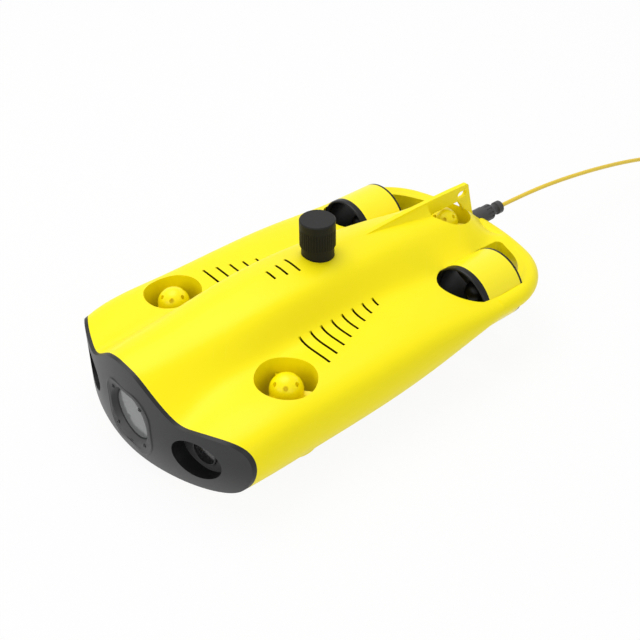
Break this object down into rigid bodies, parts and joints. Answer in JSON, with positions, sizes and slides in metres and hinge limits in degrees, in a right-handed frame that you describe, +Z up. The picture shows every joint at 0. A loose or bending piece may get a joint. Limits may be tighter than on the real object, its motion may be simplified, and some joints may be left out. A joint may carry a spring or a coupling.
{
  "type": "underwater inspection vehicle",
  "caption": "Compact tethered underwater vehicle with a streamlined two-shell hull, camera nose, recessed lamps, ducted thrusters, screw cap port and tail handle loop.",
  "frame": {"origin": "under the middle of the hull, on the surface that its feet stand on", "axes": "+Z up, the camera nose points to -Y, +X is the port side"},
  "size_m": [0.2262, 0.8465, 0.138],
  "materials": {
    "shell_yellow": "glossy moulded",
    "bezel_black": "fine matte texture",
    "black_plastic": "satin moulded",
    "prop_yellow": "glossy moulded",
    "prop_black": "satin moulded",
    "window_glass": "polished",
    "lamp_glass": "polished",
    "camera_black": "anodised look",
    "board_green": "solder mask",
    "tube_aluminium": "anodised satin",
    "battery_sleeve": "shrink sleeve",
    "foam": "closed cell foam",
    "ballast_metal": "plain",
    "motor_metal": "satin",
    "steel": "stainless",
    "brass": "plain",
    "rubber": "soft",
    "cap_grey": "fine matte texture",
    "cord_yellow": "smooth jacket",
    "plug_black": "satin moulded"
  },
  "bodies": {
    "hull": {"top_shell": "shell_yellow", "bottom_shell": "shell_yellow", "hull_screws": "steel", "rubber_feet": "rubber", "accessory_insert": "brass", "front_bezel": "bezel_black", "window_retainer": "black_plastic", "window_screws": "steel", "camera_window": "window_glass", "camera_module": "camera_black", "pressure_tube": "tube_aluminium", "tube_front_cap": "tube_aluminium", "tube_rear_cap": "tube_aluminium", "battery_pack": "battery_sleeve", "main_board": "board_green", "ballast_bars": "ballast_metal", "port_neck": "tube_aluminium", "tether_socket": "black_plastic", "tether_plug": "plug_black", "tether_coil": "cord_yellow", "tether_lead": "cord_yellow", "surface_connector": "plug_black", "front_cradle": "black_plastic", "rear_cradle": "black_plastic", "motor_aft": "motor_metal", "mount_aft": "shell_yellow", "guard_aft": "black_plastic", "lamp_lens_port": "lamp_glass", "lamp_board_port": "board_green", "buoyancy_foam_port": "foam", "rear_duct_port": "shell_yellow", "inlet_shroud_port": "black_plastic", "motor_rear_port": "motor_metal", "outlet_guard_port": "black_plastic", "motor_front_port": "motor_metal", "mount_front_port": "shell_yellow", "guard_front_port": "black_plastic", "lamp_lens_starboard": "lamp_glass", "lamp_board_starboard": "board_green", "buoyancy_foam_starboard": "foam", "rear_duct_starboard": "shell_yellow", "inlet_shroud_starboard": "black_plastic", "motor_rear_starboard": "motor_metal", "outlet_guard_starboard": "black_plastic", "motor_front_starboard": "motor_metal", "mount_front_starboard": "shell_yellow", "guard_front_starboard": "black_plastic"},
    "port_seal": {"port_ring": "rubber"},
    "cap": {"port_cap": "cap_grey"},
    "locking_ring": {"coupling_ring": "black_plastic"},
    "front_port_rotor": {"prop_front_port": "prop_yellow"},
    "front_starboard_rotor": {"prop_front_starboard": "prop_yellow"},
    "aft_rotor": {"prop_aft": "prop_yellow"},
    "rear_port_rotor": {"prop_rear_port": "prop_black"},
    "rear_starboard_rotor": {"prop_rear_starboard": "prop_black"}
  },
  "joints": [
    {"name": "front_port_spin", "type": "hinge", "parent": "hull", "child": "front_port_rotor", "pos_m": [0.073, -0.097, 0.057], "axis": [0, 0, 1], "continuous": true},
    {"name": "front_starboard_spin", "type": "hinge", "parent": "hull", "child": "front_starboard_rotor", "pos_m": [-0.073, -0.097, 0.057], "axis": [0, 0, 1], "continuous": true},
    {"name": "aft_spin", "type": "hinge", "parent": "hull", "child": "aft_rotor", "pos_m": [0, 0.143, 0.069], "axis": [0, 0, 1], "continuous": true},
    {"name": "rear_port_spin", "type": "hinge", "parent": "hull", "child": "rear_port_rotor", "pos_m": [0.0716, 0.116, 0.051], "axis": [0, -1, 0], "continuous": true},
    {"name": "rear_starboard_spin", "type": "hinge", "parent": "hull", "child": "rear_starboard_rotor", "pos_m": [-0.0716, 0.116, 0.051], "axis": [0, -1, 0], "continuous": true},
    {"name": "cap_lift", "type": "slide", "parent": "hull", "child": "port_seal", "axis": [0, 0, 1], "range_m": [0, 0.0061]},
    {"name": "cap_turn", "type": "hinge", "parent": "port_seal", "child": "cap", "pos_m": [0, -0.003, 0.125], "axis": [0, 0, 1], "range_deg": [0, 1080]},
    {"name": "ring_turn", "type": "hinge", "parent": "hull", "child": "locking_ring", "pos_m": [0, 0.2, 0.0595], "axis": [0, 1, 0], "range_deg": [0, 90]}
  ],
  "couplings": [
    {"joint": "cap_lift", "follows": "cap_turn", "m_per_rad": 0.00031831}
  ]
}
